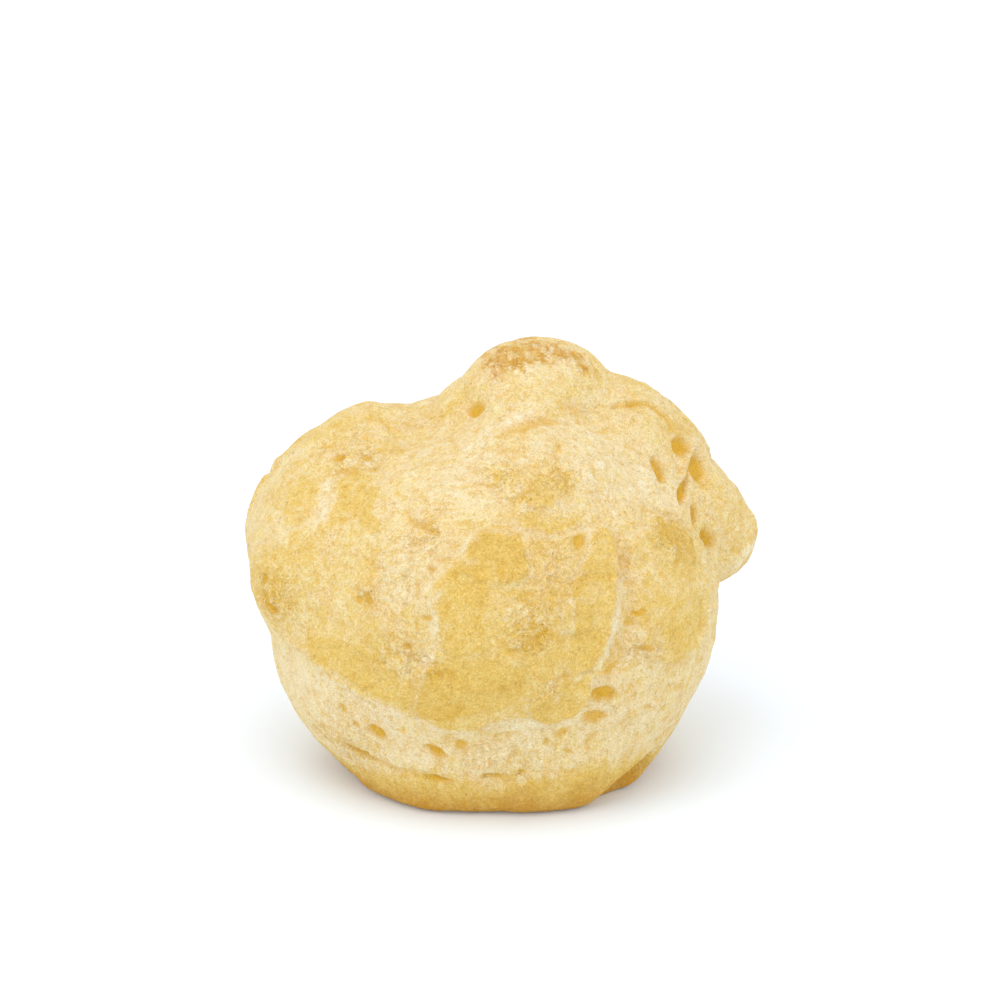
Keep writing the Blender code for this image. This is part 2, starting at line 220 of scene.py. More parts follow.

# Pale lips and strands that stand up, their paleness partly a painted highlight on the raised line: half
# width, height, and the spots that the line passes through
LIPS = {
    "strip_rim": (0.9, 0.5, ((34, 25), (34.5, 12), (31, 1), (28, -6), (25, -12), (20, -24))),
    "plate_rim": (0.75, 0.4, ((-13, 15), (-17, 8), (-16, 0), (-18, -8))),
    "plate_top": (0.55, 0.2, ((-10, 24), (-4, 27), (4, 27))),
    "apron_lip": (0.65, 0.35, (
        (-62, -13), (-54, -12), (-49, -14), (-45, -17), (-39, -19), (-33, -21), (-25, -24),
    )),
    "apron_fold": (0.7, 0.35, ((-22, -26), (-12, -29), (0, -28), (9, -26), (16, -28))),
    "belt_fold": (0.7, 0.4, ((-42, -20), (-36, -22), (-31, -25), (-29, -29), (-30, -33))),
    "ear_strand": (0.8, 0.6, (
        (67, 39), (63, 30), (62, 22), (68, 15), (68, 6), (65, -1), (60, -9), (50, -15),
    )),
    "brow_flake": (0.7, 0.5, ((31, 42), (34, 41), (36, 40), (39, 38))),
    "ear_bridge": (0.6, 0.7, ((93, 32), (84, 30), (78, 27), (73, 21))),
    "ear_flap": (0.9, 0.6, ((94, 10), (91, 4), (88, 2), (86, 0), (86, -5))),
    "window_fold": (0.5, 0.3, ((20, -25), (16, -27), (15, -31))),
    "brow_lip": (0.7, 0.3, ((0, 63), (10, 65), (22, 65), (34, 62))),
    "oval_ring": (0.5, 0.25, ((-77, 30), (-80, 24), (-75, 18), (-67, 13), (-61, 13))),
    "oval_side": (0.5, 0.25, ((-69, 32), (-66, 28), (-60, 23), (-57, 18), (-60, 14))),
    "patch_arc": (0.5, 0.2, ((-69, 33), (-68, 38), (-62, 42), (-52, 40), (-42, 34), (-34, 29))),
    "fold_lip": (0.4, 0.35, ((80, 57), (86, 51), (91, 46), (92, 42), (91, 37))),
}

# Burst bubbles: bearing, latitude, half length, half width, tilt in degrees, depth
BUBBLES = {
    "ear_slot": (76, 25, 2.9, 0.9, 26, 1.5),
    "ear_hollow": (86, 27, 2.5, 1.8, 30, 1.0),
    "ear_upper": (86, 34, 1.9, 1.5, 2, 1.0),
    "ear_low": (75, 17, 2.0, 1.2, 41, 1.3),
    "ear_lowest": (79, 9, 2.1, 0.9, -63, 1.3),
    "ear_rim": (92, 3, 1.7, 0.5, 65, 0.7),
    "ear_under": (88, -12, 6.0, 2.6, 8, 1.6),
    "rim_notch": (44, -48, 6.0, 3.0, 30, 2.6),
    "knob_foot": (-34, 76, 2.2, 1.0, -20, 0.8),
    "temple": (-73, 36, 1.0, 0.9, 60, 0.7),
    "temple_small": (-68, 41, 0.7, 0.6, 0, 0.4),
    "apron": (-35, 6, 0.9, 0.7, 0, 0.6),
    "apron_tail": (-38, 5, 0.7, 0.5, 0, 0.3),
    "apron_side": (-66, 3, 1.4, 0.7, 60, 0.8),
    "apron_side_low": (-63, -3, 1.4, 0.8, 0, 0.8),
    "apron_edge": (-18, 4, 0.8, 0.5, 30, 0.5),
    "apron_low": (-23, -4, 0.8, 0.6, 0, 0.4),
    "shoulder": (-18, 16, 0.8, 0.5, 0, 0.4),
    "heart": (23, 23, 1.2, 0.9, 40, 0.5),
    "right_pore": (37, 2, 0.8, 0.6, 0, 0.45),
    "right_pore_low": (34, -1, 0.8, 0.4, 0, 0.25),
    "right_crater": (38, -7, 1.3, 0.9, 0, 0.4),
    "right_gash": (29, -12, 1.3, 0.6, 45, 0.4),
    "window": (28, -19, 2.3, 1.3, 0, 0.8),
    "window_low": (26, -25, 1.9, 1.1, 0, 0.5),
    "fold_mouth": (17, -29, 1.5, 0.6, 30, 0.35),
    "belt_spot": (13, -32, 0.6, 0.5, 0, 0.4),
    "belt_spot_right": (20, -34, 1.0, 0.4, -30, 0.4),
    "crack_left": (-57, -35, 2.0, 0.5, -40, 0.8),
    "crack_middle": (-43, -37, 2.8, 0.5, -22, 0.9),
    "crack_right": (-18, -41, 2.4, 0.45, -12, 0.8),
    "crack_front": (-2, -41, 2.2, 0.4, 5, 0.7),
    "crack_far": (6, -40, 1.6, 0.35, 10, 0.5),
    "belt_far": (48, -26, 0.8, 0.5, 50, 0.3),
    "belt_long": (-19, -34, 2.0, 0.7, -25, 0.8),
    "belt_dimple": (-11, -33, 1.0, 0.7, -30, 0.5),
    "belt_hollow": (-35, -30, 1.5, 1.1, -40, 0.8),
    "belt_slit": (-44, -24, 1.2, 0.5, -75, 0.5),
    "belt_top": (-46, -16, 1.2, 0.5, -55, 0.5),
    "belt_speck": (-41, -28, 0.7, 0.5, 0, 0.3),
    "ear_near": (72, 34, 2.1, 1.2, 78, 1.4),
    "back_window": (-122, 25, 2.6, 1.3, 60, 1.4),
    "back_pore": (-116, 31, 1.3, 1.0, 0, 0.8),
    "back_belt": (-150, -25, 2.6, 1.1, 10, 1.1),
    "back_belt_left": (-118, -27, 1.8, 1.0, -20, 0.7),
    "back_belt_right": (128, -24, 2.4, 1.1, -12, 1.0),
    "back_crown": (150, 60, 2.0, 1.1, 20, 0.7),
    "rear_slot": (102, 14, 1.6, 0.7, 70, 0.8),
}

# The undercuts below the ear and at the rim are deeper than this and stay pale; the others are made shallower
DEEP_BUBBLE = 1.55
DEEP_TINT = 0.15
BUBBLE_SHARE = 0.65
BUBBLE_TINT = 0.5
BUBBLE_TINT_RISE = 0.6

# A bubble's bowl is flat out to this many half sizes and ends as far again. Its low rim has this height, as a
# share of the depth, and this place and half width
BOWL_FLAT = 0.6
BOWL_RIM = (0.12, 1.45, 0.3)

# How far in or out of its plane a bubble still counts, and the spread given to points beyond that
BUBBLE_REACH = 5.0
FAR_SPREAD = 99.0

# Zones of the crust: bearing, latitude, radius, change of toast, crumbling and tan
ZONES = {
    "saddle": (-25, 52, 9.0, -0.22, 0.1, 0.1),
    "brow_left": (-12, 38, 6.0, -0.20, 0.0, 0.0),
    "brow_right": (48, 40, 8.0, -0.28, 0.0, 0.1),
    "crown_front": (20, 56, 7.0, -0.15, 0.1, 0.2),
    "brow_spot": (-1, 45, 2.4, 0.35, 1.0, 0.0),
    "brow_far_spot": (22, 43, 2.4, 0.25, 1.0, 0.0),
    "brow_middle": (10, 36, 4.0, 0.10, 0.5, 0.4),
    "plate_gap": (-26, 14, 4.5, -0.25, 0.5, 0.1),
    "notch": (-22, 25, 2.5, 0.0, 0.8, 0.3),
    "strip_side": (37, 12, 3.0, -0.15, 0.3, 0.8),
    "strip_foot": (32, -7, 2.5, -0.05, 0.5, 0.7),
    "ear_side": (66, 28, 6.0, -0.20, 0.0, 0.1),
    "ear_inside": (86, 30, 3.0, 0.0, 0.2, 0.8),
    "heart": (15, 16, 5.0, -0.20, 0.7, 0.9),
    "plate_middle": (6, 3, 3.5, -0.15, 0.9, 0.2),
    "plate_fold": (9, -2, 2.4, 0.0, 0.8, 0.0),
    "plate_toe": (14, -15, 2.5, -0.15, 0.8, 0.0),
    "apron_side": (-63, 0, 4.0, 0.10, 1.0, 0.1),
    "apron_inside": (-25, -6, 4.0, 0.0, 0.7, 0.1),
    "apron_tail": (-18, -8, 2.0, -0.20, 0.9, 0.2),
    "apron_pit": (-35, 6, 2.0, 0.05, 0.7, 0.1),
    "temple": (-72, 40, 4.5, 0.05, 0.7, 0.1),
    "right_patch": (56, 18, 4.0, 0.15, 1.0, 0.0),
    "right_gap": (40, -8, 3.0, -0.05, 0.6, 0.5),
    "belt_hollow": (-36, -27, 4.0, -0.05, 0.2, 0.9),
    "belt_window": (27, -21, 3.0, 0.0, 0.2, 0.8),
    "belt_left": (-62, -22, 8.0, -0.22, 0.0, 0.0),
    "belt_low": (5, -36, 6.0, -0.05, 0.5, 0.0),
    "foot_left": (-48, -38, 5.0, 0.0, 0.8, 0.0),
    "back_gap": (-165, 14, 5.0, -0.15, 0.8, 0.2),
    "back_side": (128, 6, 5.0, -0.10, 0.8, 0.2),
    "rear_left": (-120, 20, 6.0, 0.0, 0.8, 0.1),
    "back_belt": (170, -26, 7.0, 0.0, 0.4, 0.5),
}

# Scorched spots on the knob: bearing, latitude and radius
SCORCHES = (
    (-25, 86, 2.2), (30, 88, 2.4), (0, 83, 2.2), (41, 82, 2.2), (78, 85, 2.4), (100, 81, 2.2), (70, 79, 2.0),
    (94, 77, 2.2), (88, 73, 2.0), (86, 70, 1.6), (81, 67, 1.2), (150, 80, 1.8), (-160, 83, 2.0),
)
SCORCH_CRUMBS = 1.0

# Crumbs: wavelength and share of each octave, and the height of the roughest
CRUMBS = ((1.7, 1.0), (0.95, 0.8))
CRUMB_SEED = 61
CRUMB_HEIGHT = 0.26

# How sharply crumbs part into tinted gaps and pale tops, from where, and how strongly
CRUMB_CONTRAST = 3.0
GAP_START = 0.2
GAP_TINT = 0.45
TOP_START = 0.4
TOP_PALE = 0.8

# Toast of the bare crust, the belt and the foot, and the most above the foot
CRUST_TOAST = 0.47
BELT_TOAST = 0.30
FOOT_TOAST = 1.45
MOST_TOAST = 1.1

# The latitude at which the crust ends, and the degrees over which the belt takes its place
BELT_TOP = -10.0
BELT_FADE = 8.0

# Dough stretches where its toast is low: the stretch at no toast, and its fall as the toast rises
STRETCH_START = 1.4
STRETCH_FALL = 2.2

# How much a full stretch calms the grain and the pores
STRETCH_CALM = 0.5

# The foot and its browned rim: the height of each, how far it fades over, and how far lumps and grain move it
FOOT_TOP = 8.5
FOOT_FADE = 6.0
FOOT_WANDER = (5.5, 6.0)
FOOT_PALE = 0.65
BROWN_TOP = 4.8
BROWN_FADE = 4.6
BROWN_WANDER = 3.4

# Small pores strewn over the crust
PORE_COUNT = 420
PORE_SEED = 5
PORE_RADIUS = (0.35, 0.8)
PORE_DEPTH = (0.12, 0.35)
PORE_FLAT = 0.3
PORE_EDGE = 0.9
PORE_TINT = 0.8
PORE_NEARNESS = 0.995

# Lumps of the risen dough: wavelength and height of each octave, the same as the solid's
LUMPS = ((12.0, 0.7), (5.5, 0.4))
LUMP_SEED = 11

# How far and over what wavelength outlines wander
WARPS = ((0.8, 7.0), (0.65, 2.4), (0.3, 1.1))
WARP_SEED = 31
BACK_WANDER = 2.5

# Grain of the crust: wavelength and height of each octave, and the share of its height that hollows fade over
GRAIN = ((3.2, 0.10), (1.7, 0.11), (1.0, 0.09))
GRAIN_SEED = 51
HOLLOWS_FADE = 1.2

# Stretched fibres: length, spacing, height, and how far lumps bend them
FIBRE_LENGTH = 8.0
FIBRE_SPACING = 1.2
FIBRE_HEIGHT = 0.26
FIBRE_BEND = 2.0
FIBRE_SEED = 71

# How sharply fibres turn pale, from where, and how much less in the belt
FIBRE_CONTRAST = 2.5
FIBRE_START = 0.2
BELT_CALM = 0.7

# Fine creases: spacing, half width as a share of the noise, depth, ochre tint, and how they break up
CREASE_SPACING = 6.5
CREASE_WIDTH = 0.07
CREASE_DEPTH = 0.22
CREASE_TINT = 0.35
CREASE_BREAKS = 4.0
CREASE_EDGE = 0.3
CREASE_SEED = 91

# The wavelength over which the pale rims come and go, how softly, and how pale those of plates are; the
# paleness is partly a painted highlight
RIM_BREAKS = 5.0
RIM_EDGE = 0.5
RIM_PALE_HIGHLIGHT = 0.8

# The knob starts this far above the core: how much paler it is, how far it fades over, and how grain moves it
KNOB_LEVEL = 27.0
KNOB_PALE = 0.05
KNOB_FADE = 4.0
KNOB_WANDER = 8.0

# Whole numbers that mix a cell's three indices and the seed into random bits
INDEX_MIXERS = (73856093, 19349663, 83492791)
SEED_MIXER = 2654435761
BIT_MIXER = 1274126177
LOW_32_BITS = 0xFFFFFFFF
LOW_24_BITS = 0xFFFFFF


def toward(bearing, latitude):
    """The unit direction of a bearing and a latitude, in degrees."""
    turn, rise = np.broadcast_arrays(np.radians(bearing), np.radians(latitude))
    return np.stack([np.sin(turn) * np.cos(rise), -np.cos(turn) * np.cos(rise), np.sin(rise)], axis=-1)


def smooth_step(share):
    """0 below 0, 1 above 1, and a smooth rise between."""
    share = np.clip(share, 0.0, 1.0)
    return share * share * (3.0 - 2.0 * share)


def bell(distance):
    """1 at no distance, falling as a bell to a third at 1."""
    return np.exp(-(distance**2))


def lattice_slope(cell, seed):
    """A repeatable random vector for each whole-number cell, from mixed bits of its three indices."""
    mixed = np.bitwise_xor.reduce(cell * np.array(INDEX_MIXERS), axis=1) ^ (seed * SEED_MIXER)
    mixed = (mixed ^ (mixed >> 13)) * BIT_MIXER & LOW_32_BITS
    mixed = (mixed ^ (mixed >> 16)) & LOW_24_BITS
    parts = np.stack([mixed & 255, (mixed >> 8) & 255, (mixed >> 16) & 255], axis=1)
    return parts / 127.5 - 1.0


def dough_noise(points, seed):
    """Gradient noise of about -1 to 1: each lattice corner's slope, blended across its cell."""
    cell = np.floor(points).astype(np.int64)
    within = points - cell
    weight = within**3 * (within * (within * 6.0 - 15.0) + 10.0)
    total = np.zeros(len(points))
    for corner in np.ndindex(2, 2, 2):
        slope = lattice_slope(cell + corner, seed)
        share = np.prod(np.where(np.array(corner) == 1, weight, 1.0 - weight), axis=1)
        total += share * np.sum(slope * (within - corner), axis=1)
    return total


def layered_noise(points, layers, seed):
    """Gradient noise summed over layers of a wavelength and a height."""
    return sum(height * dough_noise(points / wave, seed + k) for k, (wave, height) in enumerate(layers))


def cube_grid(steps):
    """Unit directions and quads of a cube's six square grids, each direction the side's (1, tan a, tan b).

    The two parameters a and b run from -45 to 45 degrees in even steps, and shared edges are welded.
    """
    spread = np.tan(np.linspace(-np.pi / 4.0, np.pi / 4.0, steps + 1))
    a, b = np.meshgrid(spread, spread, indexing="ij")
    one = np.ones_like(a)
    sides = [(one, a, b), (-one, -a, b), (-a, one, b), (a, -one, b), (-b, a, one), (b, a, -one)]
    points = np.concatenate([np.stack(side, axis=-1).reshape(-1, 3) for side in sides])
    row = steps + 1
    first = (np.arange(steps)[:, None] * row + np.arange(steps)).ravel()
    quad = np.stack([first, first + row, first + row + 1, first + 1], axis=1)
    quads = np.concatenate([quad + side * row * row for side in range(6)])
    rounded = np.round(points * 1e6).astype(np.int64)
    _, kept, place = np.unique(rounded, axis=0, return_index=True, return_inverse=True)
    directions = points[kept] / np.linalg.norm(points[kept], axis=1, keepdims=True)
    return directions, place.ravel()[quads]


def leaning(directions):
    """The directions crowded towards the front and top: each has the bias added and is made a unit again."""
    moved = directions + FRONT_BIAS
    return moved / np.linalg.norm(moved, axis=1, keepdims=True)


def ball_reach(directions, radius, x, y, z):
    """How far a ball's far side lies from the core along each direction, and less where the ray misses it."""
    offset = np.array([x, y, z - CORE[2]])
    along = directions @ offset
    inside = radius**2 - offset @ offset + along**2
    return along + np.sign(inside) * np.sqrt(np.abs(inside))


def merged(reaches, softness):
    """The greatest of several reaches, with its creases filled over a width of about the softness."""
    reaches = np.stack(reaches)
    greatest = reaches.max(axis=0)
    return greatest + softness * np.log(np.exp((reaches - greatest) / softness).sum(axis=0))


def barrel_reach(directions):
    """The plain body: a superellipse of the waist and, above or below the core, the crown or the foot."""
    up = directions[:, 2]
    out = np.sqrt(np.clip(1.0 - up * up, 0.0, 1.0))
    tall = np.where(up > 0.0, CROWN_REACH, FOOT_REACH)
    sides = (out / WAIST_RADIUS) ** BODY_SQUARENESS + (np.abs(up) / tall) ** BODY_SQUARENESS
    return sides ** (-1.0 / BODY_SQUARENESS)


def form_reach(directions):
    """The smooth form: the barrel merged softly with the belt's balls and crisply with the crust's."""
    belt = [ball_reach(directions, *ball) for ball in BELT_BALLS.values()]
    crust = [ball_reach(directions, *ball) for ball in CRUST_BALLS.values()]
    reach = merged([barrel_reach(directions), *belt], BELT_MERGE)
    return merged([reach, *crust], CRUST_MERGE)


def cut_off_foot(directions, reach):
    """Ends the reach at the ground with a rounded rim, and exactly on the ground inside it."""
    ground = CORE[2] / np.maximum(-directions[:, 2], 0.01)
    share = np.clip(0.5 + 0.5 * (ground - reach) / FOOT_ROUNDING, 0.0, 1.0)
    return ground + (reach - ground) * share - FOOT_ROUNDING * share * (1.0 - share)


def ragged(directions, reach):
    """The directions pushed aside by noise of several wavelengths, which makes drawn outlines ragged."""
    moved = directions
    loose = 1.0 + BACK_WANDER * smooth_step(2.0 * directions[:, 1])
    for k, (push, wave) in enumerate(WARPS):
        skin = directions * reach[:, None] / wave
        aside = np.stack([dough_noise(skin, WARP_SEED + 3 * k + axis) for axis in range(3)], axis=1)
        moved = moved + push * aside * (loose / reach)[:, None]
    return moved / np.linalg.norm(moved, axis=1, keepdims=True)


def outline_depth(directions, reach, outline):
    """Millimetres inside a closed outline, and less than 0 outside: how far away its nearest leg is.

    Everything is laid flat on the plane that touches the unit ball at the outline's middle. A point is inside
    where a level line from it crosses an odd number of legs.
    """
    corners = toward(*np.array(outline, dtype=float).T)
    middle = corners.mean(axis=0) / np.linalg.norm(corners.mean(axis=0))
    east = np.cross([0.0, 0.0, 1.0], middle)
    east /= np.linalg.norm(east)
    plane = np.stack([east, np.cross(middle, east)], axis=1)
    near = directions @ middle > OUTLINE_NEARNESS
    flat, corners = directions[near] @ plane, corners @ plane
    nearest = np.full(len(flat), np.inf)
    inside = np.zeros(len(flat), dtype=bool)
    for start, end in zip(corners, np.roll(corners, -1, axis=0)):
        leg, away = end - start, flat - start
        share = np.clip(away @ leg / (leg @ leg), 0.0, 1.0)
        nearest = np.minimum(nearest, np.linalg.norm(away - share[:, None] * leg, axis=1))
        crosses = (start[1] > flat[:, 1]) != (end[1] > flat[:, 1])
        left_of = (away[:, 0] * leg[1] < leg[0] * away[:, 1]) ^ (leg[1] < 0.0)
        inside ^= crosses & left_of
    depth = np.full(len(directions), -np.inf)
    depth[near] = np.where(inside, nearest, -nearest) * reach[near]
    return depth


def line_distance(directions, reach, spots):
    """Millimetres from a line run leg by leg between spots, and its fading over the last few at both ends."""
    corners = toward(*np.array(spots, dtype=float).T)
    nearest = np.full(len(directions), np.inf)
    place = np.zeros(len(directions))
    length = 0.0
    for start, end in zip(corners[:-1], corners[1:]):
        leg = end - start
        share = np.clip((directions - start) @ leg / (leg @ leg), 0.0, 1.0)
        distance = np.linalg.norm(directions - start - share[:, None] * leg, axis=1)
        place = np.where(distance < nearest, length + share * np.linalg.norm(leg), place)
        nearest = np.minimum(nearest, distance)
        length += np.linalg.norm(leg)
    fading = smooth_step(np.minimum(place, length - place) * reach / LINE_FADE + LINE_START)
    return nearest * reach, fading


def oval_outline(bearing, latitude, half_width, half_height, tilt):
    """The spots of a squarish oval on the skin: a superellipse of the two half sizes, turned by the tilt."""
    turn = np.linspace(0.0, 2.0 * np.pi, OVAL_CORNERS, endpoint=False)
    across = half_width * np.sign(np.cos(turn)) * np.abs(np.cos(turn)) ** OVAL_SQUARENESS
    along = half_height * np.sign(np.sin(turn)) * np.abs(np.sin(turn)) ** OVAL_SQUARENESS
    lean = np.radians(tilt)
    east = across * np.cos(lean) - along * np.sin(lean)
    north = across * np.sin(lean) + along * np.cos(lean)
    to_degrees = np.degrees(1.0 / WAIST_RADIUS)
    bearings = bearing + east * to_degrees / np.cos(np.radians(latitude))
    return np.stack([bearings, latitude + north * to_degrees], axis=1)


def form_place(bearing, latitude):
    """The point of the smooth form at a bearing and a latitude, in millimetres from the core."""
    direction = toward(bearing, latitude)
    return direction * form_reach(direction[None])[0]


def bubble_spread(skin, bearing, latitude, half_length, half_width, tilt):
    """How many half sizes each point of the skin is from a bubble's middle, on the form's tangent plane.

    The plane's two directions come from the form a degree to each side of the middle.
    """
    middle = form_place(bearing, latitude)
    east = form_place(bearing + 1.0, latitude) - form_place(bearing - 1.0, latitude)
    north = form_place(bearing, latitude + 1.0) - form_place(bearing, latitude - 1.0)
    east /= np.linalg.norm(east)
    outward = np.cross(east, north)
    outward /= np.linalg.norm(outward)
    north = np.cross(outward, east)
    lean = np.radians(tilt)
    lengthwise = east * np.cos(lean) + north * np.sin(lean)
    crosswise = north * np.cos(lean) - east * np.sin(lean)
    away = skin - middle
    spread = np.hypot(away @ lengthwise / half_length, away @ crosswise / half_width)
    return np.where(np.abs(away @ outward) < BUBBLE_REACH, spread, FAR_SPREAD)


def plates_relief(aside, reach):
    """Rise, toast and pale rim of the crust plates, the rim partly a painted highlight: each climbs over a
    short edge and has a slight lip.
    """
    rise, toast, pale = np.zeros((3, len(reach)))
    lip_height, lip_place, lip_width = PLATE_LIP
    rim_place, rim_width = PALE_RIM_HIGHLIGHT
    ovals = [(high, brown, OVAL_RIM_PALE_HIGHLIGHT, oval_outline(*oval)) for high, brown, oval in OVAL_PLATES.values()]
    for high, brown, rim, outline in (*DRAWN_PLATES.values(), *ovals):
        depth = outline_depth(aside, reach, outline)
        climb = smooth_step(depth / PLATE_EDGE + 0.5)
        rise = np.maximum(rise, high * (climb + lip_height * bell((depth - lip_place) / lip_width)))
        toast = np.maximum(toast, brown * smooth_step(depth / TOAST_EDGE + TOAST_START))
        pale = np.maximum(pale, rim * bell((depth + rim_place) / rim_width))
    return rise, toast, pale


def grooves_relief(aside, reach):
    """Depth and ochre tint of the grooves, the tint in the folds painted shade: each a bell across its line.
    """
    cut, ochre = np.zeros((2, len(reach)))
    for half_width, depth, tint, spots in GROOVES.values():
        distance, fading = line_distance(aside, reach, spots)
        share = fading * bell(distance / half_width)
        cut += depth * share
        ochre = np.maximum(ochre, tint * share)
    return cut, ochre


def lips_relief(aside, reach):
    """Height and paleness of the lips, the paleness partly a painted highlight: each a bell across its line.
    """
    rise, pale = np.zeros((2, len(reach)))
    for half_width, height, spots in LIPS.values():
        distance, fading = line_distance(aside, reach, spots)
        share = fading * bell(distance / half_width)
        rise = np.maximum(rise, height * share)
        pale = np.maximum(pale, share)
    return rise, pale


def bubbles_relief(skin):
    """Depth and ochre tint of the burst bubbles: each a flat-bottomed bowl with a low rim."""
    cut, ochre = np.zeros((2, len(skin)))
    rim_height, rim_place, rim_width = BOWL_RIM
    for *oval, depth in BUBBLES.values():
        spread = bubble_spread(skin, *oval)
        bowl = 1.0 - smooth_step((spread - BOWL_FLAT) / BOWL_FLAT)
        share, tint = BUBBLE_SHARE, min(1.0, BUBBLE_TINT + BUBBLE_TINT_RISE * depth)
        if depth > DEEP_BUBBLE:
            share, tint = 1.0, DEEP_TINT
        cut += share * depth * (bowl - rim_height * bell((spread - rim_place) / rim_width))
        ochre = np.maximum(ochre, tint * bowl)
    return cut, ochre


def pores_relief(directions, reach):
    """Depth of the small pores: round bowls at seeded random spots, by their straight distance."""
    draw = np.random.default_rng(PORE_SEED)
    spots = draw.normal(size=(PORE_COUNT, 3))
    spots /= np.linalg.norm(spots, axis=1, keepdims=True)
    radii = draw.uniform(*PORE_RADIUS, PORE_COUNT)
    depths = draw.uniform(*PORE_DEPTH, PORE_COUNT)
    cut = np.zeros(len(reach))
    for spot, radius, depth in zip(spots, radii, depths):
        near = np.flatnonzero(directions @ spot > PORE_NEARNESS)
        distance = np.linalg.norm(directions[near] - spot, axis=1) * reach[near] / radius
        bowl = 1.0 - smooth_step((distance - PORE_FLAT) / PORE_EDGE)
        cut[near] = np.maximum(cut[near], depth * bowl)
    return cut


def zone_shares(aside, reach):
    """Change of toast, crumbling and tan: the bells of the zones, added up."""
    shares = np.zeros((3, len(reach)))
    for bearing, latitude, radius, *amounts in ZONES.values():
        distance = np.linalg.norm(aside - toward(bearing, latitude), axis=1) * reach
        shares += np.outer(amounts, bell(distance / radius))
    return shares


def scorch_share(skin):
    """Scorching of the knob: the greatest of the bells of its spots."""
    scorch = np.zeros(len(skin))
    for *spot, radius in SCORCHES:
        distance = np.linalg.norm(skin - form_place(*spot), axis=1)
        scorch = np.maximum(scorch, bell(distance / radius))
    return scorch


def creases(points):
    """Share of the crease network: a bell about the places where noise is 0, broken up by other noise."""
    network = bell(dough_noise(points / CREASE_SPACING, CREASE_SEED) / CREASE_WIDTH)
    breaks = smooth_step(dough_noise(points / CREASE_BREAKS, CREASE_SEED + 1) / CREASE_EDGE)
    return network * breaks


def fibre_noise(points, belt):
    """Stretched fibres: noise drawn out across the bun above the belt, and upright in the belt."""
    level = np.array([FIBRE_LENGTH, FIBRE_SPACING, FIBRE_SPACING])
    upright = np.array([FIBRE_SPACING, FIBRE_SPACING, FIBRE_LENGTH])
    level_lines = dough_noise(points / level, FIBRE_SEED)
    upright_lines = dough_noise(points / upright, FIBRE_SEED + 1)
    return level_lines + (upright_lines - level_lines) * belt


def foot_shares(height, lumps, grain):
    """Shares of the toasted foot and of its browned rim: each fades in below a wandering height."""
    by_lumps, by_grain = FOOT_WANDER
    foot = smooth_step((FOOT_TOP - height + by_lumps * lumps + by_grain * grain) / FOOT_FADE)
    brown = smooth_step((BROWN_TOP - height + BROWN_WANDER * lumps) / BROWN_FADE)
    return foot, brown


def pale_share(edges, crumbling, crumbs, fibres, belt):
    """Paleness: the greater of the edges', which is partly a painted highlight, and of the crumbs' tops and
    the fibres' crests together.
    """
    tops = TOP_PALE * crumbling * smooth_step(CRUMB_CONTRAST * crumbs - TOP_START)
    crests = (1.0 - BELT_CALM * belt) * smooth_step(FIBRE_CONTRAST * fibres - FIBRE_START)
    return np.maximum(edges, tops + crests)


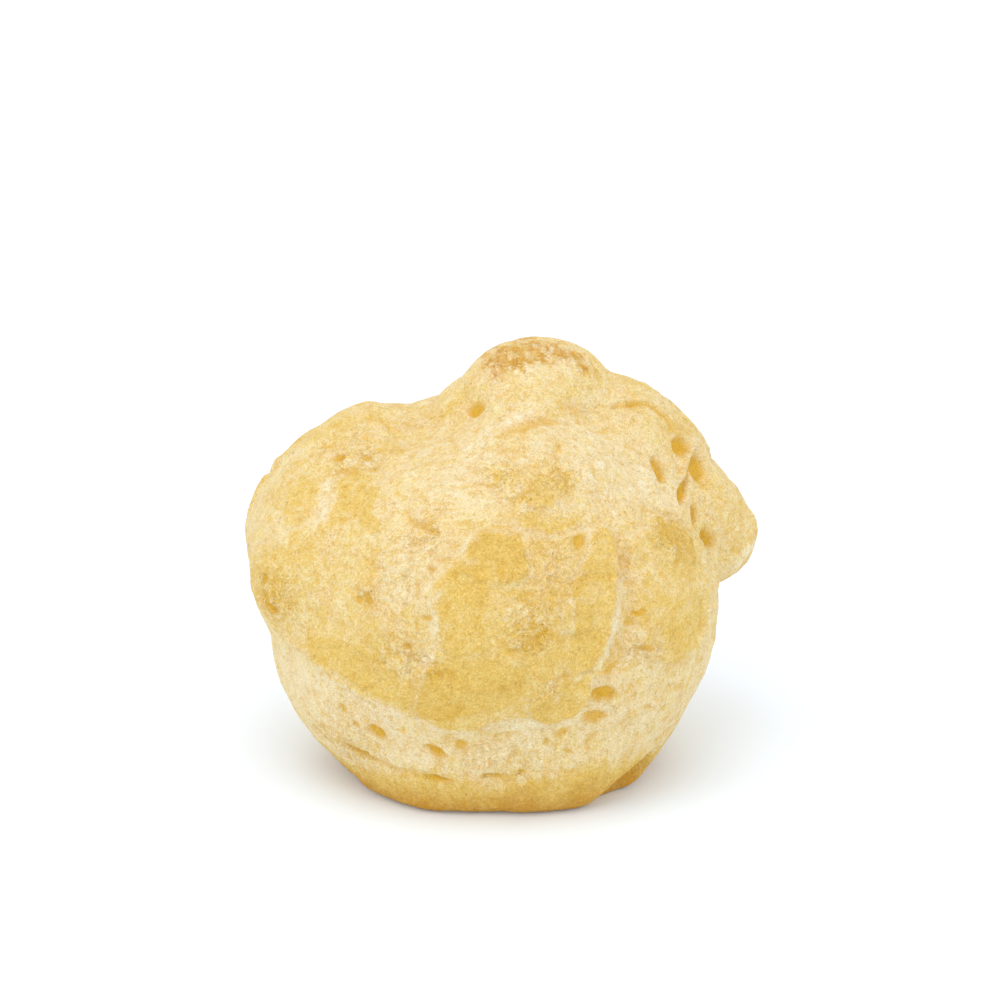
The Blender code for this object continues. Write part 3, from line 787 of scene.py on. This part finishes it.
def bun_skin(directions):
    """Places of the skin's points in millimetres, and the tints that its material reads.

    A point lies along its direction at the form's reach, raised by lumps, plates, lips, fibres, grain and
    crumbs, sunk by grooves, bubbles, pores and creases, and cut off at the ground.
    """
    reach = form_reach(directions)
    base = directions * reach[:, None]
    lumps = layered_noise(base, LUMPS, LUMP_SEED)
    grain = layered_noise(base, GRAIN, GRAIN_SEED)
    crumbs = layered_noise(base, CRUMBS, CRUMB_SEED)
    aside = ragged(directions, reach)
    skin = aside * reach[:, None]

    latitude = np.degrees(np.arcsin(np.clip(aside[:, 2], -1.0, 1.0)))
    belt = smooth_step((BELT_TOP - latitude) / BELT_FADE)
    plate_rise, plate_toast, plate_pale_highlight = plates_relief(aside, reach)
    zone_toast, crumbling, tan = zone_shares(aside, reach)
    scorch = scorch_share(skin)
    crumbling = np.clip(crumbling + SCORCH_CRUMBS * scorch, 0.0, 1.0)
    knob = smooth_step((base[:, 2] - KNOB_LEVEL + KNOB_WANDER * grain) / KNOB_FADE)
    toast = np.maximum(CRUST_TOAST + (BELT_TOAST - CRUST_TOAST) * belt, plate_toast) + zone_toast
    toast = np.clip(toast - KNOB_PALE * knob, 0.0, MOST_TOAST)
    stretch = np.clip(STRETCH_START - STRETCH_FALL * toast, 0.0, 1.0)
    calm = 1.0 - STRETCH_CALM * stretch

    groove_cut, groove_ochre_and_fold_shade = grooves_relief(aside, reach)
    lip_rise, lip_pale_highlight = lips_relief(aside, reach)
    bubble_cut, bubble_ochre = bubbles_relief(skin)
    pore_cut = pores_relief(directions, reach)
    fibres = stretch * fibre_noise(base + FIBRE_BEND * lumps[:, None], belt)
    crease = creases(base)

    raised = reach + lumps + plate_rise + lip_rise + FIBRE_HEIGHT * fibres + grain * calm
    raised += CRUMB_HEIGHT * crumbling * crumbs
    raised -= groove_cut + bubble_cut + pore_cut * calm + CREASE_DEPTH * crease
    places = directions * cut_off_foot(directions, raised)[:, None] + CORE

    foot, brown = foot_shares(places[:, 2], lumps, grain)
    gaps = GAP_TINT * crumbling * smooth_step(-CRUMB_CONTRAST * crumbs - GAP_START)
    # Pale edges of plates and lips: paler dough, and partly a painted highlight on their raised rims
    comes_and_goes = smooth_step(0.5 + dough_noise(base / RIM_BREAKS, CREASE_SEED + 2) / RIM_EDGE)
    edges = np.maximum(lip_pale_highlight, RIM_PALE_HIGHLIGHT * plate_pale_highlight) * comes_and_goes
    pale = pale_share(edges, crumbling, crumbs, fibres, belt) * (1.0 - FOOT_PALE * foot)
    # Ochre of cracks, bubbles, pores, creases and crumb gaps, and painted shade in the folds
    ochre = groove_ochre_and_fold_shade + bubble_ochre + PORE_TINT * pore_cut + CREASE_TINT * crease + gaps
    grain_height = sum(height for _, height in GRAIN)
    tints = {
        "toast": np.clip(toast + (FOOT_TOAST - toast) * foot, 0.0, FOOT_TOAST),
        "ochre": np.clip(ochre, 0.0, 1.0),
        "pale": np.clip(pale, 0.0, 1.0),
        "hollows": np.clip(0.5 - grain / (HOLLOWS_FADE * grain_height), 0.0, 1.0),
        "stretch": stretch,
        "belt": belt,
        "tan": np.clip(tan - fibres, 0.0, 1.0),
        "scorch": scorch,
        "crumbling": crumbling,
        "rim": brown,
    }
    return places, tints


def mesh_from(name, points_mm, quads, tints):
    """A smooth mesh from whole arrays of points and quads, with one float attribute for each tint."""
    mesh = bpy.data.meshes.new(name)
    mesh.vertices.add(len(points_mm))
    mesh.vertices.foreach_set("co", (points_mm * MM).ravel())
    mesh.loops.add(quads.size)
    mesh.loops.foreach_set("vertex_index", quads.ravel())
    mesh.polygons.add(len(quads))
    mesh.polygons.foreach_set("loop_start", np.arange(0, quads.size, 4))
    mesh.update(calc_edges=True)
    for tint, values in tints.items():
        mesh.attributes.new(tint, "FLOAT", "POINT").data.foreach_set("value", values.astype(np.float32))
    mesh.shade_smooth()
    piece = bpy.data.objects.new(name, mesh)
    bpy.context.scene.collection.objects.link(piece)
    return piece


def shown(red, green, blue):
    """A display colour of 0 to 255 as linear light."""
    share = np.array([red, green, blue]) / 255.0
    linear = np.where(share <= 0.04045, share / 12.92, ((share + 0.055) / 1.055) ** 2.4)
    return (*linear, 1.0)


class Nodes:
    """Short words for building one material's node tree."""

    def __init__(self, material):
        self.tree = material.node_tree
        self.place = self.add("ShaderNodeTexCoord").outputs["Object"]

    def add(self, kind, **settings):
        """A new node with some of its settings changed."""
        node = self.tree.nodes.new(kind)
        for key, value in settings.items():
            setattr(node, key, value)
        return node

    def feed(self, socket, value):
        """Links a socket to another node's output, or sets its plain value."""
        if isinstance(value, bpy.types.NodeSocket):
            self.tree.links.new(value, socket)
        else:
            socket.default_value = value

    def tint(self, name):
        """One of the skin's tints."""
        return self.add("ShaderNodeAttribute", attribute_name=name).outputs["Fac"]

    def maths(self, operation, first, second=0.0, clamp=False):
        """Two values put together by an operation."""
        node = self.add("ShaderNodeMath", operation=operation, use_clamp=clamp)
        self.feed(node.inputs[0], first)
        self.feed(node.inputs[1], second)
        return node.outputs[0]

    def times(self, first, second):
        """Two values multiplied."""
        return self.maths("MULTIPLY", first, second)

    def noise(self, size_mm, detail, roughness, distortion, stretch=(1.0, 1.0, 1.0)):
        """Noise from 0 to 1, its lumps about size_mm across and drawn out by the stretch."""
        mapping = self.add("ShaderNodeMapping")
        self.feed(mapping.inputs["Vector"], self.place)
        self.feed(mapping.inputs["Scale"], [1.0 / (size_mm * MM * share) for share in stretch])
        node = self.add("ShaderNodeTexNoise")
        self.feed(node.inputs["Vector"], mapping.outputs["Vector"])
        self.feed(node.inputs["Scale"], 1.0)
        self.feed(node.inputs["Detail"], detail)
        self.feed(node.inputs["Roughness"], roughness)
        self.feed(node.inputs["Distortion"], distortion)
        return node.outputs["Fac"]

    def crumbs(self, size_mm):
        """Distance to the nearest of scattered points: 0 at each and about 1 between them."""
        node = self.add("ShaderNodeTexVoronoi", feature="F1")
        self.feed(node.inputs["Vector"], self.place)
        self.feed(node.inputs["Scale"], 1.0 / (size_mm * MM))
        return node.outputs["Distance"]

    def spread(self, value, low, high, to_low=0.0, to_high=1.0):
        """The value's run from low to high, widened to another run and held at its ends."""
        node = self.add("ShaderNodeMapRange", clamp=True)
        for socket, number in zip(node.inputs, (value, low, high, to_low, to_high)):
            self.feed(socket, number)
        return node.outputs["Result"]

    def between(self, share, first, second):
        """Two values mixed by a share of the second."""
        return self.maths("ADD", first, self.times(share, self.maths("SUBTRACT", second, first)))

    def blend(self, share, first, second):
        """Two colours mixed by a share of the second."""
        node = self.add("ShaderNodeMix", data_type="RGBA")
        for socket, value in zip((node.inputs[0], node.inputs[6], node.inputs[7]), (share, first, second)):
            self.feed(socket, value)
        return node.outputs[2]

    def bumps(self, heights):
        """A normal bumped by each pair of a height and its depth in millimetres, one laid over another."""
        normal = None
        for height, depth_mm in heights:
            node = self.add("ShaderNodeBump")
            self.feed(node.inputs["Height"], height)
            self.feed(node.inputs["Distance"], depth_mm * MM)
            if normal is not None:
                self.feed(node.inputs["Normal"], normal)
            normal = node.outputs["Normal"]
        return normal


# Colours of the bake, as they show under this scene's light
DOUGH = shown(241, 223, 180)
STRAW = shown(237, 214, 152)
TAN = shown(234, 205, 150)
GOLD = shown(230, 196, 108)
TOASTED = shown(214, 170, 82)
BROWN = shown(207, 147, 42)
OCHRE = shown(224, 174, 52)
CREVICE = shown(208, 160, 82)
# SKIN_WHITE is the palest skin: for crumbs, and on the rims of plates and lips partly a painted highlight
SKIN_WHITE = shown(247, 238, 208)

# Noises of the crust: size in millimetres, detail, roughness and distortion
CRUST_NOISES = {
    "clouds": (7.0, 2.0, 0.5, 0.0),
    "tanning": (3.4, 3.0, 0.6, 0.0),
    "blots": (2.4, 4.0, 0.6, 0.5),
    "bending": (1.5, 3.0, 0.6, 0.8),
    "singeing": (1.4, 3.0, 0.6, 0.4),
    "charring": (1.2, 4.0, 0.65, 0.0),
    "flecks": (0.9, 3.0, 0.65, 0.0),
    "specking": (0.85, 2.0, 0.55, 0.4),
    "grain": (0.35, 2.0, 0.6, 0.0),
    "speckle": (0.18, 1.0, 0.5, 0.0),
}

# Noise of the stretched dough, and how far it is drawn out across the bun and, in the belt, upright
STREAK_NOISE = (0.8, 2.0, 0.5, 0.6)
LEVEL_STRETCH = (7.0, 1.0, 1.0)
UPRIGHT_STRETCH = (1.0, 1.0, 7.0)

# How uneven the bake is: the run of each noise that counts, and the toast that it adds at either end
UNEVENNESS = {
    "clouds": (0.35, 0.65, -0.09, 0.09),
    "blots": (0.35, 0.65, -0.11, 0.11),
    "flecks": (0.40, 0.60, 0.12, -0.12),
    "grain": (0.35, 0.65, 0.16, -0.16),
}
HOLLOWS_TOAST = (0.2, 0.8, -0.12, 0.12)
STREAKS_TOAST = (0.3, 0.7, -0.25, 0.25)

# The runs of the bake over which dough turns to straw, straw to gold and gold to toasted
STRAW_RUN = (-0.05, 0.5)
GOLD_RUN = (0.4, 0.85)
TOASTED_RUN = (0.85, 1.5)

# The run of the tanning noise over which straw turns to tan
TANNED_RUN = (0.42, 0.65)

# Marks laid over the bake: the run of the noise or tint that shows each, and its share at either end
MARKS = {
    # The rims mark is the pale edges of plates and lips, partly a painted highlight
    "rims": (0.35, 0.60, 0.25, 0.80),
    "charring": (0.35, 0.65, -0.70, 0.60),
    "scorching": (0.30, 1.10, 0.0, 0.85),
    "singes": (0.62, 0.68, 0.0, 0.45),
    "pits": (0.25, 0.55, 0.80, 1.0),
    "foot": (0.35, 0.65, 0.25, 1.0),
    "pale_crumbs": (0.12, 0.30, 0.60, 0.0),
    "specks": (0.56, 0.62, 0.0, 1.0),
    "freckles": (0.07, 0.14, 0.50, 0.0),
    "crevices": (0.0, 0.70, 0.10, 0.42),
    "crevice_lines": (0.01, 0.05, 1.0, 0.0),
}
SPECK_SHARE = 0.6

# How far the finest noises lighten and darken the colour, and how rough the grain leaves the crust
SPECKLE_LIGHT = (0.3, 0.7, 0.87, 1.09)
GRAIN_LIGHT = (0.3, 0.7, 0.94, 1.05)
GRAIN_ROUGHNESS = (0.3, 0.7, 0.62, 0.85)

# A dull crust, and the light that passes under it: share, reach of red, green and blue, and millimetres
CRUST_SHINE = 0.15
UNDER_SHARE = 0.12
UNDER_REACH = (1.0, 0.6, 0.3)
UNDER_DEPTH = 0.8

# Sizes of the pale crumbs and of the freckles, in millimetres
CRUMB_SIZE = 0.62
FRECKLE_SIZE = 1.3

# Depths of the bumps, in millimetres
BUMPS = {
    "blots": 0.22, "streaks": 0.16, "flecks": 0.40, "crumbs": 0.10, "grain": 0.20, "specks": 0.06,
    "crevices": 0.10,
}


def bake_colour(nodes, noise, streaks):
    """The bare bake: toast and noises added up pick a colour from dough through straw and gold to toasted."""
    bake = nodes.tint("toast")
    for name, run in UNEVENNESS.items():
        bake = nodes.maths("ADD", bake, nodes.spread(noise[name], *run))
    bake = nodes.maths("ADD", bake, nodes.spread(nodes.tint("hollows"), *HOLLOWS_TOAST))
    lines = nodes.times(nodes.spread(streaks, *STREAKS_TOAST), nodes.tint("stretch"))
    bake = nodes.maths("ADD", bake, lines)
    tanned = nodes.maths("ADD", nodes.spread(noise["tanning"], *TANNED_RUN), nodes.tint("tan"), clamp=True)
    colour = nodes.blend(nodes.spread(bake, *STRAW_RUN), DOUGH, nodes.blend(tanned, STRAW, TAN))
    colour = nodes.blend(nodes.spread(bake, *GOLD_RUN), colour, GOLD)
    return nodes.blend(nodes.spread(bake, *TOASTED_RUN), colour, TOASTED)


def crust_material():
    """Baked choux: the bake's colour, with rims that are partly a painted highlight, scorching, pits whose
    ochre is painted shade in the folds, crumbs and crevices laid over in turn.
    """
    material = bpy.data.materials.new("baked_choux_crust")
    material.use_nodes = True
    nodes = Nodes(material)
    shader = material.node_tree.nodes["Principled BSDF"]
    noise = {name: nodes.noise(*settings) for name, settings in CRUST_NOISES.items()}
    blots, flecks, grain = noise["blots"], noise["flecks"], noise["grain"]
    level_streaks = nodes.noise(*STREAK_NOISE, LEVEL_STRETCH)
    upright_streaks = nodes.noise(*STREAK_NOISE, UPRIGHT_STRETCH)
    streaks = nodes.between(nodes.tint("belt"), level_streaks, upright_streaks)
    crumbling = nodes.tint("crumbling")
    crumbs = nodes.crumbs(CRUMB_SIZE)

    # Pale rims of plates and lips, partly a painted highlight on the raised edges
    rims = nodes.times(nodes.tint("pale"), nodes.spread(flecks, *MARKS["rims"]))
    scorch = nodes.maths("ADD", nodes.tint("scorch"), nodes.spread(noise["charring"], *MARKS["charring"]))
    scorch = nodes.spread(scorch, *MARKS["scorching"])
    singes = nodes.spread(noise["singeing"], *MARKS["singes"])
    # Ochre of pits, cracks and creases, and painted shade in the folds
    pits = nodes.times(nodes.tint("ochre"), nodes.spread(flecks, *MARKS["pits"]))
    foot = nodes.times(nodes.tint("rim"), nodes.spread(blots, *MARKS["foot"]))
    pale_crumbs = nodes.times(nodes.spread(crumbs, *MARKS["pale_crumbs"]), crumbling)
    specks = nodes.spread(noise["specking"], *MARKS["specks"])
    freckles = nodes.spread(nodes.crumbs(FRECKLE_SIZE), *MARKS["freckles"])
    bends = nodes.maths("ABSOLUTE", nodes.maths("SUBTRACT", noise["bending"], 0.5))
    crevices = nodes.spread(crumbling, *MARKS["crevices"])
    crevices = nodes.times(nodes.spread(bends, *MARKS["crevice_lines"]), crevices)

    colour = bake_colour(nodes, noise, streaks)
    for share, over in (
        (rims, SKIN_WHITE), (scorch, BROWN), (singes, OCHRE), (pits, OCHRE), (foot, BROWN),
        (pale_crumbs, SKIN_WHITE), (nodes.times(specks, nodes.times(crumbling, SPECK_SHARE)), OCHRE),
        (freckles, TOASTED), (crevices, CREVICE),
    ):
        colour = nodes.blend(share, colour, over)
    light = nodes.spread(noise["speckle"], *SPECKLE_LIGHT)
    light = nodes.times(light, nodes.spread(grain, *GRAIN_LIGHT))
    scaled = nodes.add("ShaderNodeVectorMath", operation="SCALE")
    nodes.feed(scaled.inputs[0], colour)
    nodes.feed(scaled.inputs["Scale"], light)

    nodes.feed(shader.inputs["Base Color"], scaled.outputs[0])
    nodes.feed(shader.inputs["Roughness"], nodes.spread(grain, *GRAIN_ROUGHNESS))
    shader.inputs["Specular IOR Level"].default_value = CRUST_SHINE
    shader.inputs["Subsurface Weight"].default_value = UNDER_SHARE
    shader.inputs["Subsurface Radius"].default_value = UNDER_REACH
    shader.inputs["Subsurface Scale"].default_value = UNDER_DEPTH * MM

    heights = {
        "blots": blots,
        "streaks": streaks,
        "flecks": flecks,
        "crumbs": nodes.times(crumbs, -1.0),
        "grain": grain,
        "specks": nodes.times(specks, nodes.times(crumbling, -1.0)),
        "crevices": nodes.times(crevices, -1.0),
    }
    normal = nodes.bumps([(heights[name], depth) for name, depth in BUMPS.items()])
    nodes.feed(shader.inputs["Normal"], normal)
    return material


def make_bun():
    """The bun's skin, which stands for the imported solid."""
    directions, quads = cube_grid(GRID_STEPS)
    points, tints = bun_skin(leaning(directions))
    bun = mesh_from("bun_skin", points, quads, tints)
    bun.data.materials.append(crust_material())
    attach(bun, "root")
    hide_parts("choux_bun")
    return bun


# The camera stands level with the photo's: its frame is 1000 by 1000 pixels
FRAME_PIXELS = 1000
BUN_PIXELS = 509
BUN_WIDTH = 75.0
VIEW_ELEVATION = 20.0
VIEW_DISTANCE = 900.0
CORE_BELOW_MIDDLE = 55
SENSOR_WIDTH = 36.0


def make_camera():
    """A long lens in front of the bun, looking down on it, the core a little below the frame's middle."""
    pixel = BUN_WIDTH / BUN_PIXELS
    lift = np.radians(VIEW_ELEVATION)
    back = np.array([0.0, -np.cos(lift), np.sin(lift)])
    up = np.array([0.0, np.sin(lift), np.cos(lift)])
    aim = CORE + up * CORE_BELOW_MIDDLE * pixel
    data = bpy.data.cameras.new("studio_camera")
    data.sensor_width = SENSOR_WIDTH
    data.lens = SENSOR_WIDTH * VIEW_DISTANCE / (FRAME_PIXELS * pixel)
    camera = bpy.data.objects.new("studio_camera", data)
    camera.location = (aim + back * VIEW_DISTANCE) * MM
    camera.rotation_euler = (np.pi / 2.0 - lift, 0.0, 0.0)
    bpy.context.scene.collection.objects.link(camera)
    bpy.context.scene.camera = camera


def make_light(name, place_mm, size_mm, power):
    """A square soft light that faces the bun."""
    data = bpy.data.lights.new(name, "AREA")
    data.size = size_mm * MM
    data.energy = power
    light = bpy.data.objects.new(name, data)
    light.location = Vector(place_mm) * MM
    light.rotation_euler = (Vector(CORE) - Vector(place_mm)).to_track_quat("-Z", "Y").to_euler()
    bpy.context.scene.collection.objects.link(light)


# Soft lights: place and side in millimetres, and power in watts
LIGHTS = {
    "overhead": ((-60.0, -160.0, 520.0), 300.0, 0.5),
    "left_fill": ((-420.0, -300.0, 220.0), 300.0, 0.24),
    "right_fill": ((420.0, -260.0, 180.0), 300.0, 0.12),
}
WORLD_STRENGTH = 1.03

# The floor: its side in metres, its cool white paint, and a faint glow that keeps the shadow light
FLOOR_SIZE = 8.0
FLOOR_WHITE = (0.88, 0.93, 1.0, 1.0)
FLOOR_GLOW = (0.55, 0.78, 1.0, 1.0)
GLOW_STRENGTH = 0.08


def make_studio():
    """A white world, a broad light overhead and one from either side, and a wide pale floor."""
    world = bpy.data.worlds.new("studio")
    world.use_nodes = True
    background = world.node_tree.nodes["Background"]
    background.inputs["Color"].default_value = (1.0, 1.0, 1.0, 1.0)
    background.inputs["Strength"].default_value = WORLD_STRENGTH
    bpy.context.scene.world = world
    for name, settings in LIGHTS.items():
        make_light(name, *settings)
    bpy.ops.mesh.primitive_plane_add(size=FLOOR_SIZE)
    floor = bpy.context.object
    floor.name = "studio_floor"
    paint = bpy.data.materials.new("floor_white")
    paint.use_nodes = True
    shader = paint.node_tree.nodes["Principled BSDF"]
    shader.inputs["Base Color"].default_value = FLOOR_WHITE
    shader.inputs["Emission Color"].default_value = FLOOR_GLOW
    shader.inputs["Emission Strength"].default_value = GLOW_STRENGTH
    shader.inputs["Roughness"].default_value = 1.0
    shader.inputs["Specular IOR Level"].default_value = 0.0
    floor.data.materials.append(paint)


make_camera()
make_bun()
make_studio()
bpy.context.scene.view_settings.view_transform = "Standard"
